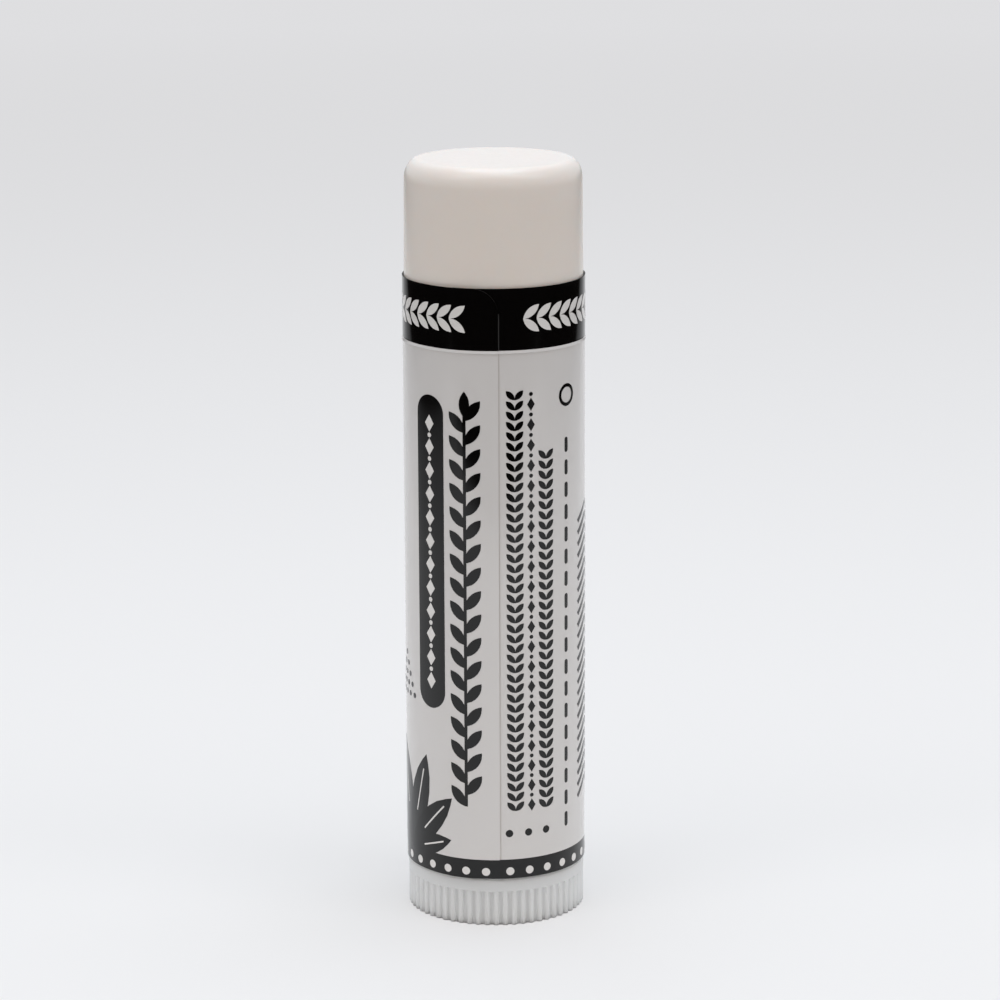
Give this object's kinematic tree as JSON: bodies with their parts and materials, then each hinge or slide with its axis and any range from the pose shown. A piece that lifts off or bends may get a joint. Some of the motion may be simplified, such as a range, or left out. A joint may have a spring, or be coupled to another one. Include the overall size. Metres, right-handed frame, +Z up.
{
  "type": "lip balm stick",
  "caption": "Lip balm stick: a film-wrapped tube with a pull-off cap and tear-off seal, and a ribbed wheel at the foot that winds the balm out on a screw.",
  "frame": {"origin": "middle of the wheel's underside, on the surface that the stick stands on", "axes": "+Z up the tube towards the cap; -Y faces the side with the label's overlap"},
  "size_m": [0.016, 0.016, 0.0674],
  "materials": {
    "tube_plastic": "moulded white polypropylene, satin",
    "cap_plastic": "moulded white polypropylene, smooth",
    "natural_plastic": "moulded natural polypropylene, milky",
    "label_film": "white gloss film printed black",
    "seal_film": "gloss film printed black",
    "balm": "waxy, pale cream"
  },
  "bodies": {
    "tube": {"tube": "tube_plastic", "body_label": "label_film"},
    "cap": {"cap": "cap_plastic", "seal_band": "seal_film"},
    "wheel": {"turn_wheel": "natural_plastic"},
    "stick": {"elevator_cup": "tube_plastic", "balm_stick": "balm"}
  },
  "joints": [
    {"name": "cap_pull", "type": "slide", "parent": "tube", "child": "cap", "axis": [0, 0, 1], "range_m": [0, 0.03]},
    {"name": "wheel_turn", "type": "hinge", "parent": "tube", "child": "wheel", "pos_m": [0, 0, 0.0062], "axis": [0, 0, 1], "range_deg": [0, 1080]},
    {"name": "stick_rise", "type": "slide", "parent": "tube", "child": "stick", "axis": [0, 0, 1], "range_m": [0, 0.0084]}
  ],
  "couplings": [
    {"joint": "wheel_turn", "follows": "stick_rise", "rad_per_m": 2244}
  ]
}
